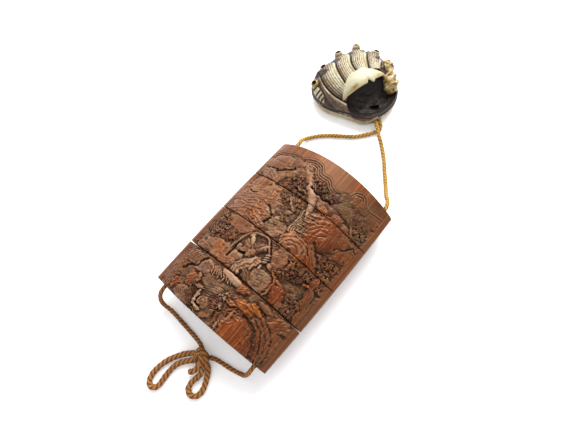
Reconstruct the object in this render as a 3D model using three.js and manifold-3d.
// A carved bamboo inro: a flat case of four nesting sections that stack along +Y, with a silk cord
// through both of its sides and a carved shell netsuke as the cord's toggle. It lies on its back.
// Millimetres, +Z up. X runs across the case and +Y along it, towards the lid. The origin is under
// the middle of the box that just holds the case and the netsuke, on the surface they lie on.
import * as THREE from "three";
import { mergeVertices } from "three/addons/utils/BufferGeometryUtils.js";
import Module from "manifold-3d";

const wasm = await Module();
wasm.setup();

// The case's outside.
const LENGTH = 84.2; // over both domed ends
const WIDTH = 60; // at the corners
const SIDE_BULGE = 0.7; // how far each long side swells at mid length
const DEPTH = 23; // front crown to back crown
const EDGE_BAND = 2; // thickness of the narrow side edge
const TOP_ARCH = 1.9; // rise of the lid's domed end
const FOOT_ARCH = 0.9; // rise of the bottom's domed end
const LENS_POWER = 0.84; // fullness of the lens section
const FLAT_SPOT = 9; // width of the flat that it rests on
const CASE_AT = [8.15, -34.72]; // the case's middle, seen from the origin

const lens = (across) => Math.max(0, 1 - across * across) ** LENS_POWER;
const halfDepth = (across) => EDGE_BAND / 2 + (DEPTH / 2 - EDGE_BAND / 2) * lens(across);

// Where the sections part, as distances from the bottom's corners, and the gaps there.
const CORNER_Y = FOOT_ARCH - LENGTH / 2;
const SIDE_LENGTH = LENGTH - FOOT_ARCH - TOP_ARCH;
const JOINTS = [20.5, 41.0, 61.9];
const JOINT_GAPS = [0.55, 0.35, 0.35];

// The insides: each section has a raised rim that slides into the socket of the section above.
const MID_Z = halfDepth(FLAT_SPOT / WIDTH); // the flat lies on z = 0
const SOCKET_HALF_WIDTH = 21.5;
const SOCKET_HALF_DEPTH = 8.6;
const SOCKET_DEPTH = 5.2;
const RIM_CLEARANCE = 0.3;
const RIM_HEIGHT = 4.8;
const RIM_WALL = 1.3;
const FLOOR = 2.2;
const ROOF = 4;

// The cord and its channels through the thick sides.
const CHANNEL_X = 25;
const CHANNEL_RADIUS = 1.6;
const CORD_DIAMETER = 1.9; // drawn tight between the case and its ends
const BOW_DIAMETER = 2.4; // slack and fluffed out in the bow
const CORD_SIDES = 8;
const CORD_GAP = 0.3;


// The relief's levels, measured from the case's smooth surface.
const GROUND = -1.3; // the cut-back background
const SKY = -0.45; // the plain field above the clouds
const PANEL_HALF_WIDTH = 27.5;
const PANEL_MARGIN = 2.5;

// The netsuke: its middle seen from the case's middle, its turn, and its heights.
const NETSUKE_AT = [-27.9, 90.2];
const NETSUKE_TURN = 40.4; // degrees from +X to its long axis
const SHELL_TOP = 16;
const RIM_MEAN = 5.6; // height of the shell's widest edge
const RIM_TILT = 1.4; // how much higher it is at the shoulder, and lower at the mouth

const smooth = (t) => {
  const c = Math.min(1, Math.max(0, t));
  return c * c * (3 - 2 * c);
};
const material = (color, roughness) => new THREE.MeshStandardMaterial({ color, roughness, metalness: 0 });

const bamboo = material(0x6e3c22, 0.45);
const cordSilk = material(0xa9762f, 0.75);
const ivory = material(0xd9cda6, 0.35);

// Boolean work.

function solidOf(geometry) {
  const bare = new THREE.BufferGeometry().setAttribute("position", geometry.getAttribute("position"));
  if (geometry.index) bare.setIndex(geometry.index);
  const merged = mergeVertices(bare, 1e-4);
  return new wasm.Manifold(
    new wasm.Mesh({
      numProp: 3,
      vertProperties: new Float32Array(merged.attributes.position.array),
      triVerts: new Uint32Array(merged.index.array),
    }),
  );
}

function geometryOf(solid) {
  const { numProp, vertProperties, triVerts } = solid.getMesh();
  const places = new Float32Array((vertProperties.length / numProp) * 3);
  for (let i = 0; i < places.length / 3; i++) {
    places.set(vertProperties.subarray(i * numProp, i * numProp + 3), i * 3);
  }
  const geometry = new THREE.BufferGeometry();
  geometry.setAttribute("position", new THREE.BufferAttribute(places, 3));
  geometry.setIndex(new THREE.BufferAttribute(triVerts, 1));
  geometry.computeVertexNormals();
  return geometry;
}

function named(name, geometry, finish) {
  const mesh = new THREE.Mesh(geometry, finish);
  mesh.name = name;
  return mesh;
}

// A closed solid between two grids of points that share their rim: over(u, v) and under(u, v),
// with u and v from 0 to 1, and over lying above under.
function slab(across, along, over, under) {
  const places = [];
  const index = [];
  for (const face of [over, under]) {
    for (let j = 0; j <= along; j++) {
      for (let i = 0; i <= across; i++) places.push(...face(i / across, j / along));
    }
  }
  const count = (across + 1) * (along + 1);
  const at = (i, j, face) => face * count + j * (across + 1) + i;
  const quad = (a, b, c, d) => index.push(a, b, c, a, c, d);
  for (let j = 0; j < along; j++) {
    for (let i = 0; i < across; i++) {
      quad(at(i, j, 0), at(i + 1, j, 0), at(i + 1, j + 1, 0), at(i, j + 1, 0));
      quad(at(i, j, 1), at(i, j + 1, 1), at(i + 1, j + 1, 1), at(i + 1, j, 1));
    }
  }
  for (let i = 0; i < across; i++) {
    quad(at(i, 0, 1), at(i + 1, 0, 1), at(i + 1, 0, 0), at(i, 0, 0));
    quad(at(i + 1, along, 1), at(i, along, 1), at(i, along, 0), at(i + 1, along, 0));
  }
  for (let j = 0; j < along; j++) {
    quad(at(across, j, 1), at(across, j + 1, 1), at(across, j + 1, 0), at(across, j, 0));
    quad(at(0, j + 1, 1), at(0, j, 1), at(0, j, 0), at(0, j + 1, 0));
  }
  const geometry = new THREE.BufferGeometry();
  geometry.setAttribute("position", new THREE.Float32BufferAttribute(places, 3));
  geometry.setIndex(index);
  return geometry;
}

// The carved landscape, in a frame whose y is 0 at the bottom's corners. Each form is an oval
// mound [x, y, half width, half height, lean in degrees, rise above the background].
const ROCKS = [
  [-19, 71, 10, 3.4, 8, 0.9],
  [-20, 50.5, 13, 9.5, -6, 1.35],
  [14, 54.5, 11, 8.5, -20, 1.7],
  [11, 45, 9, 4.6, -10, 1.5],
  [14.5, 25.5, 4, 6, 0, 1.5],
  [-19, 23, 8, 3, 0, 1.1],
  [-24, 9, 5, 12, 0, 1.2],
  [-15.5, 10, 4.6, 3.6, 20, 1.3],
  [-20.5, 4, 3.2, 2.6, 0, 1.1],
  [13, 4.5, 6.5, 9.5, -8, 1.6],
  [-1, 19, 7, 3, 0, 1.5],
  [24, 12, 4.5, 7, 15, 1.1],
  [4.5, 13, 4.5, 2.6, 30, 1.2],
];
const FOLIAGE = [
  [-10.5, 67, 6, 3.4, 0, 1.1],
  [6, 70.4, 7, 2.9, -6, 1.2],
  [20.5, 66, 6, 4.5, 0, 0.8],
  [-4, 56, 6.5, 3, -20, 1.0],
  [-1.5, 48.5, 4.5, 3, 0, 1.2],
  [22.5, 46, 5, 4, 0, 1.1],
  [-22.5, 38, 5, 2.6, 0, 1.1],
  [-19, 31.5, 7.5, 4.2, -10, 1.3],
  [15.5, 36.6, 7.5, 4, 0, 1.2],
  [22, 26.5, 4, 5, 0, 1.0],
];
const FIGURE = [
  [-5.2, 35.6, 1.7, 2.0, 25, 1.7],
  [-0.6, 36, 2.4, 1.9, -20, 1.5],
  [-2.8, 31.6, 2.4, 3.0, 20, 1.7],
  [-0.4, 27.8, 3.0, 3.4, -25, 1.7],
  [-2.6, 24, 3.6, 2.6, 15, 1.5],
  [3.4, 32.6, 1.9, 2.8, 0, 1.4],
  [-7.2, 31, 2.8, 1.3, -15, 1.3],
];
// Ridges follow an arc or a line from one end to the other: [x0, y0, x1, y1, sag, half width, rise].
const RIDGES = [
  [-11, 77, 3.4, 61, 2.2, 1.6, 1.5],
  [3.4, 61, 5, 55, 0, 1.5, 1.4],
  [-2, 68, -14, 64, -1.4, 0.9, 1.2],
  [25, 40.5, 26.5, 21, 0.8, 1.3, 1.2],
  [-11, 21.5, -11, 31, 0, 0.9, 1.2],
  [-10.5, 32, 4.6, 33.5, 7.4, 0.9, 1.5],
  [2, 12.5, 24.5, 1, 7.5, 1.9, 1.5],
];

function mound([x0, y0, halfWidth, halfHeight, lean, rise], x, y) {
  const turn = (lean * Math.PI) / 180;
  const along = ((x - x0) * Math.cos(turn) + (y - y0) * Math.sin(turn)) / halfWidth;
  const up = ((y - y0) * Math.cos(turn) - (x - x0) * Math.sin(turn)) / halfHeight;
  return rise * Math.sqrt(Math.max(0, 1 - (along * along + up * up) ** 1.5));
}

function ridge([x0, y0, x1, y1, sag, halfWidth, rise], x, y) {
  const run = Math.hypot(x1 - x0, y1 - y0);
  const [tx, ty] = [(x1 - x0) / run, (y1 - y0) / run];
  const share = ((x - x0) * tx + (y - y0) * ty) / run;
  if (share < -0.05 || share > 1.05) return 0;
  const away = (y - y0) * tx - (x - x0) * ty - sag * 4 * share * (1 - share);
  return rise * Math.sqrt(Math.max(0, 1 - (away / halfWidth) ** 2));
}

// The upper outline of the cloud bank, as waves about a falling and rising line.
function cloudTop(x) {
  const bank = 77.2 - 3.2 * Math.exp(-(((x - 7) / 5) ** 2));
  return bank + 1.3 * Math.sin((x + 17) / 4.2) + 1.5 * Math.exp(-(((x + 8) / 4) ** 2));
}

function relief(x, y) {
  let height = 0;
  for (const form of [...ROCKS, ...FOLIAGE, ...FIGURE]) height = Math.max(height, mound(form, x, y));
  for (const form of RIDGES) height = Math.max(height, ridge(form, x, y));
  height = Math.max(height, 1.1 * smooth((y - cloudTop(x) + 5.5) / 1.5));
  const carved = GROUND + height;
  const sky = smooth((y - cloudTop(x)) / 1.2);
  const deep = carved + (SKY - carved) * sky;
  const side = smooth((PANEL_HALF_WIDTH - Math.abs(x)) / PANEL_MARGIN);
  const ends = smooth(y / PANEL_MARGIN) * smooth((SIDE_LENGTH + TOP_ARCH - y) / PANEL_MARGIN);
  return deep * side * ends;
}

// The case's four sections.

const halfWidthAt = (y) => WIDTH / 2 + SIDE_BULGE * (1 - (2 * (y / SIDE_LENGTH) - 1) ** 2);
// The facets of the carved front: columns across each section, closer together towards its edges,
// and rows along it.
const COLUMNS = 36;
const ROW_STEP = 1.75;
const SPREAD = 0.95; // radians

// One section's outside, from its lower joint to its upper joint.
function sectionSkin(low, high, domedLow, domedHigh) {
  const place = (side) => (u, v) => {
    const across = Math.sin((2 * u - 1) * SPREAD) / Math.sin(SPREAD);
    const dome = 1 - across * across;
    const from = low - (domedLow ? FOOT_ARCH * dome : 0);
    const to = high + (domedHigh ? TOP_ARCH * dome : 0);
    const y = from + (to - from) * v;
    const x = across * halfWidthAt(y);
    const rise = halfDepth(across);
    if (side === 0) return [x, y, MID_Z];
    if (side > 0) return [x, y, MID_Z + rise + relief(x, y)];
    return [x, y, MID_Z - Math.min(rise, MID_Z)];
  };
  const front = solidOf(slab(COLUMNS, Math.round((high - low) / ROW_STEP), place(1), place(0)));
  const back = solidOf(slab(COLUMNS / 2, 1, place(0), place(-1)));
  return front.add(back);
}

// A prism along Y with a lens-shaped section, from y0 to y1.
function lensPrism(halfWidth, halfHeight, y0, y1) {
  const steps = 10;
  const outline = [];
  for (let i = 0; i < 2 * steps; i++) {
    const angle = (i * Math.PI) / steps;
    const x = halfWidth * Math.sign(Math.cos(angle)) * Math.abs(Math.cos(angle)) ** 0.9;
    const z = halfHeight * Math.sign(Math.sin(angle)) * Math.abs(Math.sin(angle)) ** 0.9;
    outline.push(new THREE.Vector2(x, z));
  }
  const prism = new THREE.ExtrudeGeometry(new THREE.Shape(outline), { depth: y1 - y0, bevelEnabled: false });
  return solidOf(prism.rotateX(Math.PI / 2).translate(0, y1, MID_Z));
}

function channel(x) {
  const bore = new THREE.CylinderGeometry(CHANNEL_RADIUS, CHANNEL_RADIUS, 2 * LENGTH, 8);
  return solidOf(bore.translate(x, 0, MID_Z));
}

function section(name, index) {
  const isBottom = index === 0;
  const isLid = index === JOINTS.length;
  const low = isBottom ? 0 : JOINTS[index - 1] + JOINT_GAPS[index - 1] / 2;
  const high = isLid ? SIDE_LENGTH : JOINTS[index] - JOINT_GAPS[index] / 2;
  let solid = sectionSkin(low, high, isBottom, isLid);
  const rimHalf = [SOCKET_HALF_WIDTH - RIM_CLEARANCE, SOCKET_HALF_DEPTH - RIM_CLEARANCE];
  if (!isLid) {
    const floorTop = isBottom ? FLOOR : low + SOCKET_DEPTH + FLOOR;
    solid = solid
      .add(lensPrism(...rimHalf, high - 1, high + RIM_HEIGHT))
      .subtract(lensPrism(rimHalf[0] - RIM_WALL, rimHalf[1] - RIM_WALL, floorTop, high + RIM_HEIGHT + 1));
  }
  if (!isBottom) {
    const top = isLid ? SIDE_LENGTH - ROOF : low + SOCKET_DEPTH;
    solid = solid.subtract(lensPrism(SOCKET_HALF_WIDTH, SOCKET_HALF_DEPTH, low - 1, top));
  }
  solid = solid.subtract(channel(-CHANNEL_X)).subtract(channel(CHANNEL_X));
  const mesh = named(name, geometryOf(solid), bamboo);
  mesh.position.y = CORNER_Y;
  return mesh;
}

// The netsuke: one carved shell, made about its own middle with its long axis along X and the mouth
// towards -Y.

// The rim's distance from the middle: a rounded triangle, as a mean and three waves.
function rimRadius(angle) {
  const slow = 1.1 * Math.cos(angle) - 0.85 * Math.sin(angle) + 1.1 * Math.cos(2 * angle);
  return 19.9 + slow - 1.1 * Math.cos(3 * angle) - 0.8 * Math.sin(3 * angle);
}

const rimHeight = (angle) => RIM_MEAN + RIM_TILT * Math.sin(angle);

function shellHeight(x, y) {
  const angle = Math.atan2(y, x);
  const share = Math.min(1, Math.hypot(x, y) / rimRadius(angle));
  const low = rimHeight(angle);
  return low + (SHELL_TOP - low) * (1 - share * share) ** 0.6;
}

// The shoulder's horns, by the places of their tips.
const HORNS = [
  [-21.4, 0.5],
  [-16.2, 9.8],
  [-7.4, 18.4],
  [2, 21.6],
  [12.2, 17.2],
  [18.4, 9.2],
];
const HUB = [8, -6]; // the point that the ribs fan out from
const RIB_HEIGHT = 0.8;
const RIB_HALF_WIDTH = 8; // degrees about the hub

// A broad rounded rib runs from each horn in towards the hub and fades under the lip.
function shellRib(x, y) {
  const angleOf = ([px, py]) => (Math.atan2(py - HUB[1], px - HUB[0]) * 180) / Math.PI;
  const reach = Math.hypot(x - HUB[0], y - HUB[1]);
  const here = angleOf([x, y]);
  const near = Math.min(...HORNS.map((horn) => Math.abs(angleOf(horn) - here)));
  return RIB_HEIGHT * smooth((RIB_HALF_WIDTH * 1.4 - near) / RIB_HALF_WIDTH) * smooth((reach - 6) / 6);
}

function shellBody() {
  const rings = 8;
  const spokes = 38;
  const belly = [[0.97, 0.45], [0.84, 0]]; // below the rim: share of its reach, share of its height
  const at = (ring, spoke) => {
    const angle = (spoke * 2 * Math.PI) / spokes;
    const reach = rimRadius(angle) * Math.sin((Math.min(ring, rings) / rings) * Math.PI * 0.5);
    const [shrink, drop] = ring > rings ? belly[ring - rings - 1] : [1, 1];
    const x = reach * shrink * Math.cos(angle);
    const y = reach * shrink * Math.sin(angle);
    if (ring > rings) return [x, y, rimHeight(angle) * drop];
    return [x, y, shellHeight(x, y) + shellRib(x, y)];
  };
  const last = rings + belly.length;
  const places = [...at(0, 0), 0, 0, 0];
  const index = [];
  for (let ring = 1; ring <= last; ring++) {
    for (let spoke = 0; spoke < spokes; spoke++) places.push(...at(ring, spoke));
  }
  const id = (ring, spoke) => 2 + (ring - 1) * spokes + (spoke % spokes);
  for (let spoke = 0; spoke < spokes; spoke++) {
    index.push(0, id(1, spoke), id(1, spoke + 1));
    index.push(1, id(last, spoke + 1), id(last, spoke));
    for (let ring = 1; ring < last; ring++) {
      index.push(id(ring, spoke), id(ring + 1, spoke), id(ring + 1, spoke + 1));
      index.push(id(ring, spoke), id(ring + 1, spoke + 1), id(ring, spoke + 1));
    }
  }
  const geometry = new THREE.BufferGeometry();
  geometry.setAttribute("position", new THREE.Float32BufferAttribute(places, 3));
  geometry.setIndex(index);
  return solidOf(geometry);
}

// An ellipsoid with its middle at a point, turned about Z.
function egg(middle, radii, turn, segments = 14) {
  const shape = new THREE.SphereGeometry(1, segments, Math.round(segments * 0.6)).scale(...radii);
  return solidOf(shape.rotateZ((turn * Math.PI) / 180).translate(...middle));
}

// A round stub from one point to another.
function stub(from, to, fromRadius, toRadius, sides = 8) {
  const [start, end] = [new THREE.Vector3(...from), new THREE.Vector3(...to)];
  const run = end.clone().sub(start);
  const shape = new THREE.CylinderGeometry(toRadius, fromRadius, run.length(), sides);
  const turn = new THREE.Quaternion().setFromUnitVectors(new THREE.Vector3(0, 1, 0), run.normalize());
  const middle = start.add(end).multiplyScalar(0.5);
  return solidOf(shape.applyQuaternion(turn).translate(middle.x, middle.y, middle.z));
}

// One horn of the shoulder, with a dimple in its tip.
function horn([x, y]) {
  const foot = [x * 0.74, y * 0.74, 8.4];
  const tip = [x, y, 9.6];
  const along = (share) => foot.map((value, axis) => value + (tip[axis] - value) * share);
  return stub(foot, tip, 3, 1.5).subtract(stub(along(0.8), along(1.3), 0.8, 0.8, 6));
}

// The polished lip that leans over the mouth: a half moon on the chord between two points, whose
// outer arc lies on the shell.
function crescent() {
  const [left, right, bulge, thickness] = [[-6.4, -14.6], [14.6, -0.8], 7.6, 1.9];
  const across = [right[0] - left[0], right[1] - left[1]];
  const length = Math.hypot(...across);
  const face = (lift) => (u, v) => {
    const out = 0.02 + bulge * v * 4 * u * (1 - u);
    const x = left[0] + across[0] * u - (across[1] / length) * out;
    const y = left[1] + across[1] * u + (across[0] / length) * out;
    return [x, y, shellHeight(x, y) + 1 + lift];
  };
  return solidOf(slab(12, 3, face(0), face(-thickness)));
}

function netsuke() {
  let solid = shellBody();
  for (const tip of HORNS) solid = solid.add(horn(tip));
  solid = solid.subtract(egg([8.5, -9.8, 9.6], [14, 9.4, 6.2], 33.7, 18));
  solid = solid.add(crescent()).add(egg([17.6, 0.8, 8.6], [3, 8.6, 4.6], 12));
  const cordHole = new THREE.CylinderGeometry(1, 1, 11, 12).scale(2.7, 1, 1.6).translate(9.8, -17, 2.9);
  solid = solid.subtract(solidOf(cordHole));
  const mesh = named("netsuke_shell", geometryOf(solid), ivory);
  mesh.position.set(...NETSUKE_AT, 0);
  mesh.rotation.z = (NETSUKE_TURN * Math.PI) / 180;
  return mesh;
}

// The cord. Its points are seen from the case's middle. Each strand runs from the hole in the
// netsuke, down through the channel in one side of the case, and on to the bow's knot.
const LOW = 1.05; // the height of a strand that lies flat
const LEFT_STRAND = [
  [-8.8, 84.8, 2.9],
  [-7.2, 83.0, 2.9],
  [-5.3, 81.7, 2.2],
  [-3.9, 80.2, 1.3],
  [-3.9, 78.1, LOW],
  [-5.4, 75.3, LOW],
  [-7.6, 72.3, LOW],
  [-11.0, 68.6, LOW],
  [-15.8, 65.3, LOW],
  [-20.7, 62.0, LOW],
  [-25.1, 58.2, LOW],
  [-28.0, 54.4, 1.3],
  [-28.7, 51.2, 2.9],
  [-27.4, 48.8, 6.6],
  [-25.7, 46.4, 10.0],
  [-25, 43, MID_Z],
  [-25, 39, MID_Z],
  [-25, 20, MID_Z],
  [-25, 0, MID_Z],
  [-25, -20, MID_Z],
  [-25, -39, MID_Z],
  [-25.0, -43.0, 11.0],
  [-25.1, -45.6, 8.8],
  [-24.9, -47.2, 5.2],
  [-23.4, -47.9, 2.2],
  [-19.4, -47.7, LOW],
  [-13.9, -48.1, LOW],
  [-8.6, -48.6, LOW],
  [-3.3, -49.1, LOW],
  [0.4, -49.8, 1.4],
  [3.2, -51.0, 2.2],
];
const RIGHT_STRAND = [
  [-10.7, 83.2, 2.9],
  [-9.0, 81.4, 3.1],
  [-6.6, 79.9, 3.3],
  [-4.2, 77.9, 3.4],
  [-1.8, 75.6, 3.1],
  [0.5, 73.9, 2.3],
  [2.4, 72.5, 1.4],
  [5.6, 69.4, LOW],
  [9.2, 65.4, LOW],
  [11.9, 62.0, LOW],
  [14.7, 58.6, 1.4],
  [17.5, 54.8, 3.1],
  [20.5, 50.4, 6.2],
  [23.6, 46.6, 9.8],
  [25, 43, MID_Z],
  [25, 39, MID_Z],
  [25, 20, MID_Z],
  [25, 0, MID_Z],
  [25, -20, MID_Z],
  [25, -39, MID_Z],
  [25, -43.0, 10.9],
  [24.5, -45.2, 7.8],
  [23.2, -46.8, 3.6],
  [20.6, -47.7, 1.1],
  [17.4, -48.5, LOW],
  [14.0, -49.1, LOW],
  [9.9, -49.8, 1.3],
  [6.6, -51.0, 2.0],
];
const LEFT_LOOP = [
  [2.4, -52.6, 2.8],
  [0.4, -54.2, 2.0],
  [-1.8, -56.3, 1.35],
  [-4.0, -59.4, 1.3],
  [-5.9, -63.2, 1.3],
  [-6.9, -67.3, 1.3],
  [-6.9, -71.0, 1.3],
  [-5.6, -73.9, 1.3],
  [-3.2, -74.5, 1.3],
  [-1.7, -72.5, 1.3],
  [-2.0, -68.7, 1.3],
  [-2.2, -64.9, 1.3],
  [-1.6, -61.4, 1.3],
  [0.4, -58.4, 1.5],
  [3.2, -55.4, 2.2],
];
const LOWER_LOOP = [
  [7.2, -53.0, 3.0],
  [9.3, -54.2, 2.2],
  [10.8, -56.4, 1.4],
  [12.6, -59.6, 1.3],
  [13.6, -62.8, 1.3],
  [13.0, -65.4, 1.3],
  [10.9, -66.5, 1.3],
  [8.7, -65.4, 1.3],
  [7.9, -63.0, 1.3],
  [8.4, -60.1, 1.5],
  [8.6, -57.6, 2.4],
  [7.2, -54.8, 3.2],
];
const FREE_END = [
  [5.6, -54.0, 3.4],
  [6.3, -56.6, 3.8],
  [6.0, -59.0, 3.2],
  [4.2, -60.7, 1.9],
];
const KNOT_MIDDLE = [4.9, -53.0, 2.6];
const KNOT_RADII = [3.5, 3.1, 2.5];

function tube(points, diameter, step) {
  const curve = new THREE.CatmullRomCurve3(points.map((point) => new THREE.Vector3(...point)));
  const section = [];
  for (let side = 0; side < CORD_SIDES; side++) {
    const angle = (side * 2 * Math.PI) / CORD_SIDES;
    section.push(new THREE.Vector2(Math.cos(angle), Math.sin(angle)).multiplyScalar(diameter / 2));
  }
  const steps = Math.round(curve.getLength() / step);
  return new THREE.ExtrudeGeometry(new THREE.Shape(section), { steps, extrudePath: curve });
}

// The knot: a round lump with one turn of cord over it and one free end, cut back around the cords
// that run into it.
function knot() {
  let solid = egg(KNOT_MIDDLE, KNOT_RADII, -20, 9);
  const turn = new THREE.TorusGeometry(2.3, BOW_DIAMETER / 2, 6, 10).rotateY(Math.PI / 2).rotateZ(-0.5);
  solid = solid.add(solidOf(turn.scale(1, 1, 0.8).translate(...KNOT_MIDDLE).translate(0, 0, 0.3)));
  solid = solid.add(solidOf(tube(FREE_END, BOW_DIAMETER, 3)));
  for (const strand of [LEFT_STRAND, RIGHT_STRAND]) {
    solid = solid.subtract(solidOf(tube(strand.slice(-3), CORD_DIAMETER + 2 * CORD_GAP, 4)));
  }
  for (const loop of [LEFT_LOOP, LOWER_LOOP]) {
    solid = solid.subtract(solidOf(tube(loop, BOW_DIAMETER + 2 * CORD_GAP, 4)));
  }
  return named("bow_knot", geometryOf(solid), cordSilk);
}

const layout = new THREE.Group();
layout.position.set(...CASE_AT, 0);
["bottom_case", "lower_tray", "upper_tray", "lid"].forEach((name, index) => layout.add(section(name, index)));
layout.add(netsuke());
layout.add(named("cord_left", tube(LEFT_STRAND, CORD_DIAMETER, 5.2), cordSilk));
layout.add(named("cord_right", tube(RIGHT_STRAND, CORD_DIAMETER, 5.2), cordSilk));
layout.add(named("bow_loop_left", tube(LEFT_LOOP, BOW_DIAMETER, 4), cordSilk));
layout.add(named("bow_loop_lower", tube(LOWER_LOOP, BOW_DIAMETER, 4), cordSilk));
layout.add(knot());

const inro = new THREE.Group();
inro.add(layout);

export default inro;
